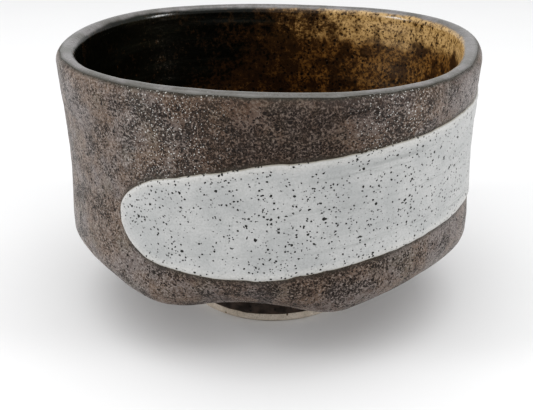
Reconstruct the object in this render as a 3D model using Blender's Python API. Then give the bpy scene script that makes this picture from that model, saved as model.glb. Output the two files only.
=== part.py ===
"""Matcha bowl: a thrown stoneware tea bowl, built as its clay pieces and its glaze coats.

Sizes are in millimetres and the model is in metres, +Z up, standing on z = 0. The front of the
bowl, with the left end of the white brush stroke, faces -Y. Angles are in degrees from +X
towards +Y. Each piece is worked out in half-planes through the axis, as (radius, height) points,
and joined round the bowl.
"""

import math

import bmesh
import bpy

MM = 0.001

# ---- overall sizes ----
LIP_RADIUS = 60.0        # mean outer radius at the lip
HEIGHT = 76.8            # table to the top of the lip
WALL_THICKNESS = 5.4     # wall and lip, glaze included
BELLY_RADIUS = 58.3      # mean outer radius where the wall turns under
BELLY_HEIGHT = 29.0      # the wall has taken the belly's outline at this height
WALL_WAIST = 0.9         # how far the wall bows in at half its height

# ---- the soft waves of a hand-made outline: order, cosine and sine part ----
LIP_WAVES = ((2, 0.38, -0.41), (3, -0.10, 1.03), (4, -1.21, 0.90))
BELLY_WAVES = ((1, -0.20, 0.0), (2, 0.20, 0.10))

# ---- the turn from the wall into the underside, trimmed deeper by shallow cuts ----
EDGE_HEIGHT = 18.8       # where wall and underside would meet between two cuts
EDGE_FILLET = 8.4        # rounding of that edge
CUT_RISE = 3.0           # how far a cut of depth 1 lifts the edge
CUT_ROUNDING = 4.0       # how much wider a cut of depth 1 rounds it
CUTS = (                 # middle angle, half width in degrees, depth
    (10.0, 22.0, 0.40), (62.0, 24.0, 0.90), (112.0, 22.0, 0.60), (162.0, 22.0, 0.80),
    (211.0, 22.0, 0.75), (264.0, 20.0, 1.60), (317.0, 27.0, 1.00),
)
CORNER_SOFTNESS = 6.0    # half the angle over which a corner between two cuts is softened

# ---- inside ----
INSIDE_FILLET = 20.0     # rounds the inside wall into the floor
FLOOR_THICKNESS = 6.5    # at the centre, glaze included
FLOOR_SLOPE = 0.20       # rise over run of the dished floor

# ---- foot ----
FOOT_RADIUS = 25.9       # outer radius of the foot ring
FOOT_SHIFT = (0.5, -1.3) # how far the foot was turned off the bowl's own axis
FOOT_HEIGHT = 8.0        # table to the underside at the foot
FOOT_WIDTH = 5.5         # width of the ring that the bowl stands on
FOOT_CHAMFER = 0.7       # broken edges of the ring
BARE_HEIGHT = 2.3        # bare clay at the bottom of the foot
RECESS_DEPTH = 6.0       # hollow inside the foot ring

# ---- glaze ----
GLAZE = 0.5              # thickness of one coat
GAP = 0.3                # clearance between touching pieces
LIP_SKIRT = 1.2          # how far the lip glaze runs down below the rounding

# ---- white brush stroke, angles round the bowl and shares of the straight wall's height ----
STROKE_START = 229.5
STROKE_END = 382.0
STROKE_CAP_START = 14.0  # length of the rounded left end
STROKE_CAP_END = 24.0    # length of the tapered far end
STROKE_LEVEL = (0.29, 0.487)    # middle of the stroke at its left end and at the right side
STROKE_RISE = 100.0      # angle over which it climbs
STROKE_HALF = (0.235, 0.332)    # half its width at its left end and at its widest
STROKE_SWELL = 42.0      # angle over which it widens

# ---- amber coat, angles of its two edges at the lip, and how far they spread on the way down ----
AMBER_BACK = 68.0
AMBER_FRONT = -62.0
AMBER_BACK_SPREAD = 50.0
AMBER_FRONT_SPREAD = 40.0

# ---- fineness of the mesh ----
SEGMENTS = 48
WALL_ROWS = 4
EDGE_STEPS = 6
INSIDE_STEPS = 5
FLOOR_ROWS = 2
LIP_STEPS = 6
AMBER_COLUMNS = 18
STROKE_ROWS = 9

# ---- sizes that follow from those above ----
LIP_BASE = HEIGHT - WALL_THICKNESS / 2
GLAZE_TOP = LIP_BASE - LIP_SKIRT - GAP
COAT = GLAZE + GAP
FLOOR_HEIGHT = RECESS_DEPTH + FLOOR_THICKNESS
SEAT_HEIGHT = FOOT_HEIGHT + COAT
FOOT_INNER = FOOT_RADIUS - FOOT_WIDTH


# ---------------------------------------------------------------- shape of the bowl

def smooth(share):
    """0 to 1 with a soft start and a soft end."""
    share = min(max(share, 0.0), 1.0)
    return share * share * (3.0 - 2.0 * share)


def spread(first, last, count):
    """count evenly spaced numbers from first to last."""
    return [first + (last - first) * i / (count - 1) for i in range(count)]


def outline(angle, radius, waves):
    """Radius at an angle of a circle with soft waves."""
    turn = math.radians(angle)
    return radius + sum(c * math.cos(n * turn) + s * math.sin(n * turn) for n, c, s in waves)


def lip_outline(angle):
    """Outer radius of the lip."""
    return outline(angle, LIP_RADIUS, LIP_WAVES)


def belly_outline(angle):
    """Outer radius of the belly, just above the turn into the underside."""
    return outline(angle, BELLY_RADIUS, BELLY_WAVES)


def sharp_cut(angle):
    """Depth of the deepest cut at an angle, 0 where there is none."""
    depth = 0.0
    for middle, half_width, full_depth in CUTS:
        off_middle = ((angle - middle + 180.0) % 360.0 - 180.0) / half_width
        depth = max(depth, full_depth * (1.0 - off_middle * off_middle))
    return depth


def cut(angle):
    """Depth of the trimming at an angle, with the corners between cuts softened."""
    shifts = spread(-CORNER_SOFTNESS, CORNER_SOFTNESS, 5)
    return sum(sharp_cut(angle + shift) for shift in shifts) / len(shifts)


def wall_radius(angle, height):
    """Outer radius of the wall, which blends from the lip's outline into the belly's."""
    share = (LIP_BASE - height) / (LIP_BASE - BELLY_HEIGHT)
    share = min(max(share, 0.0), 1.0)
    blend = smooth(share)
    bow = WALL_WAIST * math.sin(math.pi * share)
    return lip_outline(angle) * (1.0 - blend) + belly_outline(angle) * blend - bow


def filleted(corners, radii, steps):
    """The path through corners, each with a radius above 0 replaced by an arc."""
    path = []
    for i, (corner, radius) in enumerate(zip(corners, radii)):
        if radius == 0:
            path.append(corner)
            continue
        before = math.atan2(corners[i - 1][1] - corner[1], corners[i - 1][0] - corner[0])
        after = math.atan2(corners[i + 1][1] - corner[1], corners[i + 1][0] - corner[0])
        opening = (after - before + math.pi) % (2 * math.pi) - math.pi
        middle = before + opening / 2
        reach = radius / math.sin(abs(opening) / 2)
        centre = (corner[0] + reach * math.cos(middle), corner[1] + reach * math.sin(middle))
        sweep = (math.pi - abs(opening)) * math.copysign(1.0, opening)
        for turn in spread(middle + math.pi + sweep / 2, middle + math.pi - sweep / 2, steps + 1):
            path.append((centre[0] + radius * math.cos(turn), centre[1] + radius * math.sin(turn)))
    return path


def belly_turn(angle):
    """Edge height, fillet radius and the fillet's reach up the wall, at an angle."""
    edge = EDGE_HEIGHT + CUT_RISE * cut(angle)
    fillet = EDGE_FILLET + CUT_ROUNDING * cut(angle)
    underside = math.atan2(edge - FOOT_HEIGHT, belly_outline(angle) - FOOT_RADIUS - GAP)
    return edge, fillet, fillet * math.tan((math.pi / 2 - underside) / 2)


def outer_curve(angle, top):
    """The outside from the height top down to the foot."""
    edge, fillet, reach = belly_turn(angle)
    wall = [(wall_radius(angle, z), z) for z in spread(top, edge + reach + GAP, WALL_ROWS)]
    corners = [wall[-1], (wall[-1][0], edge), (FOOT_RADIUS + GAP, FOOT_HEIGHT)]
    return wall[:-1] + filleted(corners, (0, fillet, 0), EDGE_STEPS)


def side_radius(angle, height):
    """Outer radius at a height on the side of the bowl, between two points of its outer curve."""
    curve = outer_curve(angle, GLAZE_TOP)
    for (upper_r, upper_z), (lower_r, lower_z) in zip(curve, curve[1:]):
        if height >= lower_z:
            break
    return lower_r + (upper_r - lower_r) * (height - lower_z) / (upper_z - lower_z)


def inner_curve(angle, top):
    """The inside from the height top down to the middle of the floor."""
    wall_end = belly_outline(angle) - WALL_THICKNESS
    corner = (wall_end, FLOOR_HEIGHT + wall_end * FLOOR_SLOPE)
    bend = INSIDE_FILLET * math.tan((math.pi / 2 - math.atan(FLOOR_SLOPE)) / 2)
    heights = spread(top, corner[1] + bend, WALL_ROWS)
    wall = [(wall_radius(angle, z) - WALL_THICKNESS, z) for z in heights[:-1]]
    start = (wall_radius(angle, heights[-1]) - WALL_THICKNESS, heights[-1])
    arc = filleted([(start[0], start[1] + GAP), (start[0], corner[1]), (0.0, FLOOR_HEIGHT)],
                   (0, INSIDE_FILLET, 0), INSIDE_STEPS)[1:-1]
    floor = [(r, FLOOR_HEIGHT + r * FLOOR_SLOPE) for r in spread(arc[-1][0], 0.0, FLOOR_ROWS + 2)[1:]]
    return wall + arc + floor


def lip_curve(angle, inset):
    """The rounding of the lip from outside to inside, inset below the surface of the glaze."""
    radius = WALL_THICKNESS / 2 - inset
    centre = lip_outline(angle) - WALL_THICKNESS / 2
    turns = spread(0.0, math.pi, LIP_STEPS + 1)
    return [(centre + radius * math.cos(t), LIP_BASE + radius * math.sin(t)) for t in turns]


def offset(curve, distance):
    """The curve moved to its left, which is out of the clay on the outside and into it inside."""
    moved = []
    for i, (r, z) in enumerate(curve):
        before = curve[max(i - 1, 0)]
        after = curve[min(i + 1, len(curve) - 1)]
        dr, dz = after[0] - before[0], after[1] - before[1]
        length = math.hypot(dr, dz)
        moved.append((max(r - dz / length * distance, 0.0), z + dr / length * distance))
    return moved


# ---------------------------------------------------------------- places in the model

def bowl_middle():
    """Middle of the lip and the belly seen from above, which is set over the origin."""
    rims = [(a, radius(a)) for a in range(360) for radius in (lip_outline, belly_outline)]
    xs = [r * math.cos(math.radians(a)) for a, r in rims]
    ys = [r * math.sin(math.radians(a)) for a, r in rims]
    return (min(xs) + max(xs)) / 2, (min(ys) + max(ys)) / 2


MIDDLE = bowl_middle()


def place(angle, radius, height):
    """A point in metres, with the lip centred on the origin and the foot shifted under the bowl."""
    turn = math.radians(angle)
    lean = 1.0 - smooth((height - SEAT_HEIGHT) / (EDGE_HEIGHT - SEAT_HEIGHT))
    x = radius * math.cos(turn) - MIDDLE[0] + FOOT_SHIFT[0] * lean
    y = radius * math.sin(turn) - MIDDLE[1] + FOOT_SHIFT[1] * lean
    return x * MM, y * MM, height * MM


# ---------------------------------------------------------------- building solids

def material(name, colour, roughness):
    """A plain glazed or bare clay material."""
    made = bpy.data.materials.new(name)
    made.use_nodes = True
    shader = made.node_tree.nodes["Principled BSDF"]
    shader.inputs["Base Color"].default_value = (*colour, 1.0)
    shader.inputs["Roughness"].default_value = roughness
    shader.inputs["Metallic"].default_value = 0.0
    return made


def finish(name, bm, colour, roughness):
    """Turn a bmesh into a named, smooth shaded object."""
    bmesh.ops.recalc_face_normals(bm, faces=bm.faces)
    mesh = bpy.data.meshes.new(name)
    bm.to_mesh(mesh)
    bm.free()
    mesh.shade_smooth()
    mesh.set_sharp_from_angle(angle=math.radians(40.0))
    mesh.materials.append(material(name, colour, roughness))
    bpy.context.scene.collection.objects.link(bpy.data.objects.new(name, mesh))


def radius_of(vert):
    """Distance of a vertex from the origin's vertical axis."""
    return math.hypot(vert.co.x, vert.co.y)


def turned(name, section, colour, roughness):
    """A solid all the way round from section(angle), a closed loop or a path from axis to axis.

    Every four-sided patch is split from its upper to its lower corner in the same sense, so that
    two surfaces that follow each other keep their gap where the patches are twisted.
    """
    angles = [360.0 * i / SEGMENTS for i in range(SEGMENTS)]
    sections = [section(a) for a in angles]
    on_axis = sections[0][0][0] == 0.0
    bm = bmesh.new()
    poles = [bm.verts.new(place(0.0, 0.0, sections[0][end][1])) for end in (0, -1)] if on_axis else []
    inner = [points[1:-1] if on_axis else points for points in sections]
    rings = [[bm.verts.new(place(a, r, z)) for r, z in points] for a, points in zip(angles, inner)]
    count = len(rings[0])
    for ring, following in zip(rings, rings[1:] + rings[:1]):
        for i in range(count - 1 if on_axis else count):
            j = (i + 1) % count
            corners = (ring[i], ring[j], following[j], following[i])
            split = 0 if ring[i].co.z + radius_of(ring[i]) / 3 > ring[j].co.z + radius_of(ring[j]) / 3 else 1
            bm.faces.new([corners[(split + k) % 4] for k in (0, 1, 2)])
            bm.faces.new([corners[(split + k) % 4] for k in (0, 2, 3)])
        if on_axis:
            bm.faces.new((poles[0], ring[0], following[0]))
            bm.faces.new((poles[1], following[-1], ring[-1]))
    finish(name, bm, colour, roughness)


def slab(name, outside, inside, colour, roughness):
    """A thin solid between two grids of points of the same size."""
    bm = bmesh.new()
    front = [[bm.verts.new(p) for p in row] for row in outside]
    back = [[bm.verts.new(p) for p in row] for row in inside]
    rows, columns = len(front), len(front[0])
    for sheet in (front, back):
        for i in range(rows - 1):
            for j in range(columns - 1):
                bm.faces.new((sheet[i][j], sheet[i][j + 1], sheet[i + 1][j + 1], sheet[i + 1][j]))
    rim = [(0, j) for j in range(columns - 1)] + [(i, columns - 1) for i in range(rows - 1)]
    rim += [(rows - 1, j) for j in range(columns - 1, 0, -1)] + [(i, 0) for i in range(rows - 1, 0, -1)]
    for (i, j), (k, m) in zip(rim, rim[1:] + rim[:1]):
        bm.faces.new((front[i][j], front[k][m], back[k][m], back[i][j]))
    finish(name, bm, colour, roughness)


# ---------------------------------------------------------------- the pieces

def body_section(angle):
    """Clay of wall, floor and underside, from the floor's middle over the lip to the recess."""
    inside = offset(inner_curve(angle, LIP_BASE), COAT)[::-1]
    outside = offset(outer_curve(angle, LIP_BASE), -COAT)
    lip = lip_curve(angle, COAT)[::-1]
    boss = FOOT_INNER - GAP
    seat = [(boss, SEAT_HEIGHT), (boss, RECESS_DEPTH + FOOT_CHAMFER), (boss - FOOT_CHAMFER, RECESS_DEPTH)]
    floor_middle = (0.0, inside[0][1])
    last = (outside[-1][0], SEAT_HEIGHT)
    return [floor_middle] + inside[1:-1] + lip + outside[1:-1] + [last] + seat + [(0.0, RECESS_DEPTH)]


def outer_glaze_section(angle):
    """Coat on the outside wall, the cuts and the underside."""
    curve = outer_curve(angle, GLAZE_TOP)
    return curve + offset(curve, -GLAZE)[::-1]


def inner_glaze_section(angle):
    """Coat that lines the inside."""
    curve = inner_curve(angle, GLAZE_TOP)
    under = offset(curve, GLAZE)
    return curve[::-1] + under[:-1] + [(0.0, under[-1][1])]


def lip_glaze_section(angle):
    """Coat rolled over the lip."""
    low = LIP_BASE - LIP_SKIRT
    outer = wall_radius(angle, low)
    inner = outer - WALL_THICKNESS
    over = [(outer, low)] + lip_curve(angle, 0.0) + [(inner, low)]
    under = [(outer - GLAZE, low)] + lip_curve(angle, GLAZE) + [(inner + GLAZE, low)]
    return over + under[::-1]


def foot_ring_section(angle):
    """Clay ring, stepped in above the bare edge to make room for its glaze."""
    top = SEAT_HEIGHT - GAP
    step = FOOT_RADIUS - COAT
    return [
        (FOOT_INNER + FOOT_CHAMFER, 0.0), (FOOT_RADIUS - FOOT_CHAMFER, 0.0), (FOOT_RADIUS, FOOT_CHAMFER),
        (FOOT_RADIUS, BARE_HEIGHT), (step, BARE_HEIGHT), (step, top), (FOOT_INNER, top),
        (FOOT_INNER, FOOT_CHAMFER),
    ]


def foot_glaze_section(angle):
    """Dark band of glaze on the wall of the foot ring."""
    low, high = BARE_HEIGHT + GAP, FOOT_HEIGHT - GAP
    return [(FOOT_RADIUS - GLAZE, low), (FOOT_RADIUS, low), (FOOT_RADIUS, high), (FOOT_RADIUS - GLAZE, high)]


def amber_glaze():
    """Second coat inside, on the right, from just under the lip down to near the floor's middle."""
    rows = len(inner_curve(0.0, GLAZE_TOP)) - 1
    sheets = []
    for lift in (COAT, GAP):
        sheet = []
        for row in range(rows):
            share = row / (rows - 1)
            ends = AMBER_FRONT - AMBER_FRONT_SPREAD * share, AMBER_BACK + AMBER_BACK_SPREAD * share
            angles = spread(*ends, AMBER_COLUMNS)
            sheet.append([place(a, *offset(inner_curve(a, GLAZE_TOP), -lift)[row]) for a in angles])
        sheets.append(sheet)
    slab("amber_glaze", sheets[0], sheets[1], (0.30, 0.17, 0.06), 0.3)


def stroke_span(angle):
    """Lower and upper height of the white stroke at an angle."""
    level = STROKE_LEVEL[0] + (STROKE_LEVEL[1] - STROKE_LEVEL[0]) * smooth((angle - STROKE_START) / STROKE_RISE)
    half = STROKE_HALF[0] + (STROKE_HALF[1] - STROKE_HALF[0]) * smooth((angle - STROKE_START) / STROKE_SWELL)
    for past_end, cap in ((STROKE_START + STROKE_CAP_START - angle, STROKE_CAP_START),
                          (angle - STROKE_END + STROKE_CAP_END, STROKE_CAP_END)):
        if past_end > 0:
            half *= math.sqrt(max(1.0 - (past_end / cap) ** 2, 0.0))
    wall = LIP_BASE - BELLY_HEIGHT
    return BELLY_HEIGHT + wall * (level - half), BELLY_HEIGHT + wall * (level + half)


def white_brush_glaze():
    """Raised white stroke that climbs round the front and the right side."""
    first, last = STROKE_START + STROKE_CAP_START / 20, STROKE_END - STROKE_CAP_END / 20
    step = 360.0 / SEGMENTS
    between = range(math.floor(first / step) + 1, math.ceil(last / step))
    angles = [first] + [i * step for i in between] + [last]
    sheets = []
    for lift in (COAT, GAP):
        columns = []
        for a in angles:
            heights = spread(*stroke_span(a), STROKE_ROWS)
            columns.append([place(a, side_radius(a, z) + lift, z) for z in heights])
        sheets.append(columns)
    slab("white_brush_glaze", sheets[0], sheets[1], (0.58, 0.60, 0.60), 0.45)


def build():
    """Empty the scene and build every piece."""
    for old in list(bpy.data.objects):
        bpy.data.objects.remove(old)
    turned("stoneware_body", body_section, (0.36, 0.29, 0.23), 0.85)
    turned("foot_ring", foot_ring_section, (0.52, 0.46, 0.39), 0.85)
    turned("outer_glaze", outer_glaze_section, (0.14, 0.10, 0.085), 0.5)
    turned("foot_glaze", foot_glaze_section, (0.03, 0.022, 0.018), 0.45)
    turned("lip_glaze", lip_glaze_section, (0.24, 0.22, 0.22), 0.3)
    turned("inner_glaze", inner_glaze_section, (0.012, 0.011, 0.009), 0.15)
    amber_glaze()
    white_brush_glaze()


build()
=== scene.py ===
"""Matcha bowl, dressed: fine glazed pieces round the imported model, a pale floor and soft studio light.

Shapes are worked out in millimetres in the frame of the model, +Z up, the front towards -Y.
Angles are in degrees from +X towards +Y. A piece is a grid of points: rows along its section,
columns round the bowl.
"""
import math

import bpy
import numpy as np
from mathutils import Matrix, Vector


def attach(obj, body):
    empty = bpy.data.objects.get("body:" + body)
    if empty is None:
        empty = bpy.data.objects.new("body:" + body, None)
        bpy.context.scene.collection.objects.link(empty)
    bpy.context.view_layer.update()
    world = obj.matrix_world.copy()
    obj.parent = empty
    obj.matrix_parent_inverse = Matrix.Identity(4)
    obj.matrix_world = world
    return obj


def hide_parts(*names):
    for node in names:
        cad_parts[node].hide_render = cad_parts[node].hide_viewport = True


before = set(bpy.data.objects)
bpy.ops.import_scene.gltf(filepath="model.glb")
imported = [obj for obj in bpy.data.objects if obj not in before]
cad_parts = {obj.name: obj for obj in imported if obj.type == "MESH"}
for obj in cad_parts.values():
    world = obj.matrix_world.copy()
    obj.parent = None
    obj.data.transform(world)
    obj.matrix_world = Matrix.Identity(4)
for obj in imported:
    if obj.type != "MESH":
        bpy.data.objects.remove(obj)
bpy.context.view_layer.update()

MM = 0.001

# ---- the bowl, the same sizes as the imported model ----
LIP_RADIUS, HEIGHT, WALL_THICKNESS = 60.0, 76.8, 5.4
BELLY_RADIUS, BELLY_HEIGHT, WALL_WAIST = 58.3, 29.0, 0.9
LIP_WAVES = ((2, 0.38, -0.41), (3, -0.10, 1.03), (4, -1.21, 0.90))
BELLY_WAVES = ((1, -0.20, 0.0), (2, 0.20, 0.10))
EDGE_HEIGHT, EDGE_FILLET, CUT_RISE, CUT_ROUNDING = 18.8, 8.4, 3.0, 4.0
CUTS = (
    (10.0, 22.0, 0.40), (62.0, 24.0, 0.90), (112.0, 22.0, 0.60), (162.0, 22.0, 0.80),
    (211.0, 22.0, 0.75), (264.0, 20.0, 1.60), (317.0, 27.0, 1.00),
)
CORNER_SOFTNESS = 6.0
INSIDE_FILLET, FLOOR_THICKNESS, FLOOR_SLOPE, FLOOR_RISE = 20.0, 6.5, 0.20, 0.4
FOOT_RADIUS, FOOT_SHIFT, FOOT_HEIGHT, FOOT_WIDTH = 25.9, (0.5, -1.3), 8.0, 5.5
BARE_HEIGHT, RECESS_DEPTH = 2.3, 6.0    # clay left bare above the ground, hollow under the foot
GLAZE, GAP, LIP_SKIRT = 0.5, 0.3, 1.2
STROKE_START, STROKE_END = 229.5, 382.0
STROKE_CAP_START, STROKE_CAP_END = 14.0, 24.0
STROKE_LEVEL, STROKE_RISE = (0.29, 0.487), 100.0
STROKE_HALF, STROKE_SWELL = (0.235, 0.332), 42.0

LIP_ROUNDING = WALL_THICKNESS / 2
LIP_BASE = HEIGHT - LIP_ROUNDING
JOINT = LIP_BASE - LIP_SKIRT
COAT = GLAZE + GAP
FLOOR_HEIGHT = RECESS_DEPTH + FLOOR_THICKNESS
SEAT_HEIGHT = FOOT_HEIGHT + COAT
FOOT_INNER = FOOT_RADIUS - FOOT_WIDTH

# ---- columns round the bowl, and rows of the grids ----
SEGMENTS = 640
ROUND = np.arange(SEGMENTS) * 360.0 / SEGMENTS
INSIDE_ROWS = (56, 30, 54)
AMBER_COLUMNS, AMBER_ROWS = 340, 100
STROKE_COLUMNS, STROKE_ROWS = 380, 84

# ---- amber pour: its edges at the lip, how far they spread by AMBER_RUN mm down, how softly they end ----
AMBER_BACK, AMBER_FRONT = 74.0, -62.0
AMBER_BACK_RUN, AMBER_FRONT_RUN, AMBER_RUN = 42.0, 40.0, 46.0
AMBER_FADE, AMBER_THICKNESS = 46.0, 0.10

LIP_LINE_GAP = 0.5    # degrees on the lip's rounding between the outer glaze or the lip glaze and their line

# ---- waves left by the throwing fingers, the trimming tool and the turning of the recess, in mm ----
FINGER_PITCH, FINGER_DEPTH = 5.2, 0.13
TRIMMING_PITCH, TRIMMING_DEPTH = 2.4, 0.07
RECESS_PITCH, RECESS_WAVE = 2.6, 0.12
UNDER_GLAZE = 0.05    # how far the raised glazes reach into the coat below them


# ---------------------------------------------------------------- shape of the bowl

def smooth(share):
    """0 to 1 with a soft start and a soft end."""
    share = np.clip(share, 0.0, 1.0)
    return share * share * (3.0 - 2.0 * share)


def outline(angle, radius, waves):
    """Radius at an angle of a circle with soft waves."""
    turn = np.radians(angle)
    return radius + sum(c * np.cos(n * turn) + s * np.sin(n * turn) for n, c, s in waves)


def lip_outline(angle):
    return outline(angle, LIP_RADIUS, LIP_WAVES)


def belly_outline(angle):
    return outline(angle, BELLY_RADIUS, BELLY_WAVES)


def from_angle(angle, middle):
    """Degrees from middle to an angle, from -180 to 180."""
    return (angle - middle + 180.0) % 360.0 - 180.0


def sharp_cut(angle):
    """Depth of the deepest cut at an angle, 0 where there is none."""
    depth = np.zeros_like(angle)
    for middle, half_width, full_depth in CUTS:
        off_middle = from_angle(angle, middle) / half_width
        depth = np.maximum(depth, full_depth * (1.0 - off_middle * off_middle))
    return depth


def cut(angle):
    """Depth of the trimming at an angle, with the corners between cuts softened."""
    shifts = np.linspace(-CORNER_SOFTNESS, CORNER_SOFTNESS, 5)
    return sum(sharp_cut(angle + shift) for shift in shifts) / len(shifts)


def wall_radius(angle, height):
    """Outer radius of the wall, which blends from the lip's outline into the belly's."""
    share = np.clip((LIP_BASE - height) / (LIP_BASE - BELLY_HEIGHT), 0.0, 1.0)
    blend = smooth(share)
    bow = WALL_WAIST * np.sin(math.pi * share)
    return lip_outline(angle) * (1.0 - blend) + belly_outline(angle) * blend - bow


def belly_turn(angle):
    """Edge height, fillet radius, slope of the underside and the fillet's reach up the wall."""
    edge = EDGE_HEIGHT + CUT_RISE * cut(angle)
    fillet = EDGE_FILLET + CUT_ROUNDING * cut(angle)
    slope = np.arctan2(edge - FOOT_HEIGHT, belly_outline(angle) - FOOT_RADIUS - GAP)
    return edge, fillet, slope, fillet * np.tan((math.pi / 2 - slope) / 2)


def side_radius(angle, height):
    """Outer radius at a height on the wall or on the rounding below it."""
    edge, fillet, _, reach = belly_turn(angle)
    below = np.clip(edge + reach - height, 0.0, fillet)
    return wall_radius(angle, height) - fillet + np.sqrt(fillet ** 2 - below ** 2)


def outer_grid(angle, start, rows):
    """Points on the outside, rows for lip rounding, wall, belly rounding and underside.

    start is the turn on the lip's rounding where the first row lies, 0 at its outermost point.
    """
    edge, fillet, slope, reach = belly_turn(angle)
    wall_low = edge + reach
    parts = []
    for share in np.linspace(1.0, 0.0, rows[0] + 1)[:-1]:
        turn = np.radians(start * share)
        parts.append((lip_outline(angle) - LIP_ROUNDING + LIP_ROUNDING * np.cos(turn),
                      LIP_BASE + LIP_ROUNDING * np.sin(turn)))
    for share in np.linspace(0.0, 1.0, rows[1] + 1)[:-1]:
        z = LIP_BASE * (1.0 - share) + wall_low * share
        parts.append((wall_radius(angle, z), z))
    side = wall_radius(angle, wall_low)
    for share in np.linspace(0.0, 1.0, rows[2] + 1)[:-1]:
        turn = share * (math.pi / 2 - slope)
        parts.append((side - fillet + fillet * np.cos(turn), wall_low - fillet * np.sin(turn)))
    turn = math.pi / 2 - slope
    end = side - fillet + fillet * np.cos(turn), wall_low - fillet * np.sin(turn)
    for share in np.linspace(0.0, 1.0, rows[3] + 1):
        parts.append((end[0] * (1.0 - share) + FOOT_RADIUS * share,
                      end[1] * (1.0 - share) + FOOT_HEIGHT * share))
    return np.array([p[0] for p in parts]), np.array([p[1] for p in parts])


def inner_grid(angle, top, rows):
    """Points on the inside from the height top down to the middle of the floor."""
    wall_end = belly_outline(angle) - WALL_THICKNESS
    corner = FLOOR_HEIGHT + wall_end * FLOOR_SLOPE
    slope = math.atan(FLOOR_SLOPE)
    bend = INSIDE_FILLET * math.tan((math.pi / 2 - slope) / 2)
    wall_low = corner + bend
    parts = []
    for share in np.linspace(0.0, 1.0, rows[0] + 1)[:-1]:
        z = top * (1.0 - share) + wall_low * share
        parts.append((wall_radius(angle, z) - WALL_THICKNESS, z))
    side = wall_radius(angle, wall_low) - WALL_THICKNESS
    for share in np.linspace(0.0, 1.0, rows[1] + 1)[:-1]:
        turn = share * (math.pi / 2 - slope)
        parts.append((side - INSIDE_FILLET + INSIDE_FILLET * np.cos(turn),
                      wall_low - INSIDE_FILLET * np.sin(turn)))
    turn = math.pi / 2 - slope
    start = (side - INSIDE_FILLET + INSIDE_FILLET * math.cos(turn),
             wall_low - INSIDE_FILLET * math.sin(turn))
    for share in np.linspace(0.0, 1.0, rows[2] + 1)[:-1]:
        parts.append((start[0] * (1.0 - share),
                      start[1] * (1.0 - share) + (FLOOR_HEIGHT + FLOOR_RISE) * share + 0 * start[0]))
    return np.array([p[0] for p in parts]), np.array([p[1] for p in parts])


def lifted(r, z, distance):
    """A grid moved to the left of its sections, out of the clay on the outside, into it inside."""
    dr, dz = np.gradient(r, axis=0), np.gradient(z, axis=0)
    length = np.hypot(dr, dz) + 1e-9
    return np.maximum(r - dz / length * distance, 0.0), z + dr / length * distance


def bowl_middle():
    """Middle of the lip and the belly seen from above, which is set over the origin."""
    angle = np.arange(360.0)
    x, y = [], []
    for radius in (lip_outline(angle), belly_outline(angle)):
        x.extend(radius * np.cos(np.radians(angle)))
        y.extend(radius * np.sin(np.radians(angle)))
    return (min(x) + max(x)) / 2, (min(y) + max(y)) / 2


MIDDLE = bowl_middle()


def place(angle, radius, height):
    """Points in metres, with the lip centred on the origin and the foot shifted under the bowl."""
    turn = np.radians(angle)
    lean = 1.0 - smooth((height - SEAT_HEIGHT) / (EDGE_HEIGHT - SEAT_HEIGHT))
    x = radius * np.cos(turn) - MIDDLE[0] + FOOT_SHIFT[0] * lean
    y = radius * np.sin(turn) - MIDDLE[1] + FOOT_SHIFT[1] * lean
    return np.stack([x, y, height + 0 * x], axis=-1) * MM


# ---------------------------------------------------------------- unevenness of hand work

LUMP_ROWS, LUMP_OFFSET = 64, 200.0


def lumps(angle, along, round_count, size, seed):
    """Smooth random values of about -1 to 1: round_count lumps round the bowl, size mm along."""
    rng = np.random.default_rng(seed)
    table = rng.uniform(-1.0, 1.0, (round_count, LUMP_ROWS))
    u = (angle % 360.0) / 360.0 * round_count
    v = along / size + LUMP_OFFSET
    i, j = np.floor(u).astype(int), np.floor(v).astype(int)
    fu, fv = smooth(u - i), smooth(v - j)
    total = 0.0
    for di, wu in ((0, 1.0 - fu), (1, fu)):
        for dj, wv in ((0, 1.0 - fv), (1, fv)):
            total = total + table[(i + di) % round_count, (j + dj) % LUMP_ROWS] * wu * wv
    return total


def wander(angle, round_count, seed):
    """Smooth random values of about -1 to 1 that change only round the bowl."""
    return lumps(angle, 0 * angle, round_count, 10.0, seed)


def outer_lumps(angle, height):
    """How far the outer glaze stands in or out of the plain shape, in mm."""
    rings = lumps(angle, height + 0.012 * angle, 5, 3.1, 3)
    return (0.16 * lumps(angle, height, 18, 17.0, 1) + 0.07 * lumps(angle, height, 60, 6.0, 2)
            + 0.05 * rings + 0.05 * lumps(angle, height, 150, 2.3, 4))


def inner_lumps(angle, along):
    """The same for the inside, with the spiral that the fingers leave."""
    spiral = np.sin((along + angle / 360.0 * FINGER_PITCH) / FINGER_PITCH * 2 * math.pi)
    depth = smooth((along - 12.0) / 20.0)
    return (FINGER_DEPTH * spiral * depth + 0.15 * lumps(angle, along, 14, 15.0, 11)
            + 0.06 * lumps(angle, along, 7, 2.7, 12))


def arc_length(r, z):
    """Millimetres along each section from its first row."""
    step = np.hypot(np.diff(r, axis=0), np.diff(z, axis=0))
    return np.vstack([np.zeros((1, r.shape[1])), np.cumsum(step, axis=0)])


# ---------------------------------------------------------------- meshes

SHARP_ANGLE = 50.0


def put_in_scene(name, data):
    made = bpy.data.objects.new(name, data)
    bpy.context.scene.collection.objects.link(made)
    return made


def volume(points, faces):
    """Volume of a closed body, below 0 when its faces look inwards."""
    halves = [face[:3] for face in faces]
    halves += [(face[0], face[2], face[3]) for face in faces if len(face) == 4]
    corners = points[np.array(halves)]
    return np.einsum("ij,ij->", corners[:, 0], np.cross(corners[:, 1], corners[:, 2])) / 6.0


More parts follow.
